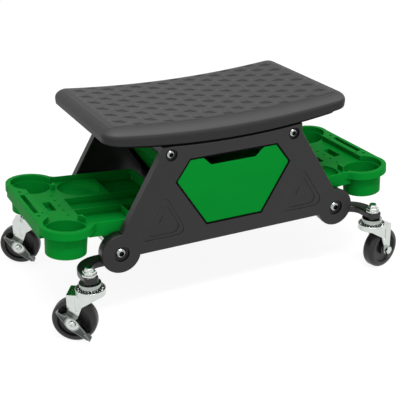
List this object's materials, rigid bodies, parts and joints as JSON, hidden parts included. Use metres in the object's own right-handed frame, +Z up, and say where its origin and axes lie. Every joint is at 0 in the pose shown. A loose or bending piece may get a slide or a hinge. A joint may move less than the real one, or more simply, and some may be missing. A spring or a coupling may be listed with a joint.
{
  "type": "rolling mechanic seat",
  "caption": "Low rolling garage seat: dished pad on panels around a sliding drawer, organiser trays with cup holders at both ends, swivel casters on curved arms.",
  "frame": {"origin": "on the floor under the middle of the seat", "axes": "+X along the seat to the right seen from the drawer's front, +Y from the drawer's front to the back, +Z up"},
  "size_m": [0.6666, 0.3788, 0.3428],
  "materials": {
    "seat_foam": "matte moulded skin",
    "black_board": "matte",
    "black_panel": "fine matte grain",
    "green_plastic": "satin",
    "black_arm": "satin black",
    "zinc_steel": "zinc plated",
    "dark_steel": "black oxide",
    "wheel_plastic": "satin"
  },
  "bodies": {
    "frame": {"bracket_screws": "dark_steel", "front_left_arm": "black_arm", "front_left_stem": "zinc_steel", "front_left_tray_bracket": "dark_steel", "front_right_arm": "black_arm", "front_right_stem": "zinc_steel", "front_right_tray_bracket": "dark_steel", "front_side_panel": "black_panel", "guide_screws": "dark_steel", "left_drawer_guide": "dark_steel", "left_lower_shaft": "zinc_steel", "left_tray": "green_plastic", "left_upper_tube": "dark_steel", "lower_bolts": "zinc_steel", "rear_left_arm": "black_arm", "rear_left_stem": "zinc_steel", "rear_left_tray_bracket": "dark_steel", "rear_right_arm": "black_arm", "rear_right_stem": "zinc_steel", "rear_right_tray_bracket": "dark_steel", "rear_side_panel": "black_panel", "right_drawer_guide": "dark_steel", "right_lower_shaft": "zinc_steel", "right_tray": "green_plastic", "right_upper_tube": "dark_steel", "seat_pad": "seat_foam", "seat_pan": "black_board", "seat_screws": "dark_steel", "stem_nuts": "zinc_steel", "stem_washers": "zinc_steel", "tray_screws": "dark_steel", "upper_bolts": "zinc_steel"},
    "drawer": {"drawer": "green_plastic"},
    "front_left_swivel_fork": {"front_left_fork": "zinc_steel", "front_left_race_balls": "zinc_steel", "front_left_wheel_bush": "zinc_steel", "front_left_axle": "zinc_steel"},
    "front_left_wheel": {"front_left_wheel": "wheel_plastic"},
    "front_left_brake_lever": {"front_left_brake_lever": "zinc_steel"},
    "front_right_swivel_fork": {"front_right_fork": "zinc_steel", "front_right_race_balls": "zinc_steel", "front_right_wheel_bush": "zinc_steel", "front_right_axle": "zinc_steel"},
    "front_right_wheel": {"front_right_wheel": "wheel_plastic"},
    "rear_left_swivel_fork": {"rear_left_fork": "zinc_steel", "rear_left_race_balls": "zinc_steel", "rear_left_wheel_bush": "zinc_steel", "rear_left_axle": "zinc_steel"},
    "rear_left_wheel": {"rear_left_wheel": "wheel_plastic"},
    "rear_left_brake_lever": {"rear_left_brake_lever": "zinc_steel"},
    "rear_right_swivel_fork": {"rear_right_fork": "zinc_steel", "rear_right_race_balls": "zinc_steel", "rear_right_wheel_bush": "zinc_steel", "rear_right_axle": "zinc_steel"},
    "rear_right_wheel": {"rear_right_wheel": "wheel_plastic"}
  },
  "joints": [
    {"name": "drawer_slide", "type": "slide", "parent": "frame", "child": "drawer", "axis": [0, -1, 0], "range_m": [0, 0.2]},
    {"name": "front_left_swivel", "type": "hinge", "parent": "frame", "child": "front_left_swivel_fork", "pos_m": [-0.2706, -0.157, 0.085], "axis": [0, 0, 1], "continuous": true},
    {"name": "front_left_spin", "type": "hinge", "parent": "front_left_swivel_fork", "child": "front_left_wheel", "pos_m": [-0.29408, -0.14175, 0.0375], "axis": [-0.5446, -0.8387, 0], "continuous": true},
    {"name": "front_left_brake", "type": "hinge", "parent": "front_left_swivel_fork", "child": "front_left_brake_lever", "pos_m": [-0.29408, -0.14175, 0.0375], "axis": [-0.5446, -0.8387, 0], "range_deg": [0, 14]},
    {"name": "front_right_swivel", "type": "hinge", "parent": "frame", "child": "front_right_swivel_fork", "pos_m": [0.2706, -0.157, 0.085], "axis": [0, 0, 1], "continuous": true},
    {"name": "front_right_spin", "type": "hinge", "parent": "front_right_swivel_fork", "child": "front_right_wheel", "pos_m": [0.29777, -0.15023, 0.0375], "axis": [-0.2419, 0.9703, 0], "continuous": true},
    {"name": "rear_left_swivel", "type": "hinge", "parent": "frame", "child": "rear_left_swivel_fork", "pos_m": [-0.2706, 0.157, 0.085], "axis": [0, 0, 1], "continuous": true},
    {"name": "rear_left_spin", "type": "hinge", "parent": "rear_left_swivel_fork", "child": "rear_left_wheel", "pos_m": [-0.29532, 0.17014, 0.0375], "axis": [-0.4695, -0.8829, 0], "continuous": true},
    {"name": "rear_left_brake", "type": "hinge", "parent": "rear_left_swivel_fork", "child": "rear_left_brake_lever", "pos_m": [-0.29532, 0.17014, 0.0375], "axis": [-0.4695, -0.8829, 0], "range_deg": [0, 14]},
    {"name": "rear_right_swivel", "type": "hinge", "parent": "frame", "child": "rear_right_swivel_fork", "pos_m": [0.2706, 0.157, 0.085], "axis": [0, 0, 1], "continuous": true},
    {"name": "rear_right_spin", "type": "hinge", "parent": "rear_right_swivel_fork", "child": "rear_right_wheel", "pos_m": [0.29598, 0.16883, 0.0375], "axis": [-0.4226, 0.9063, 0], "continuous": true}
  ]
}
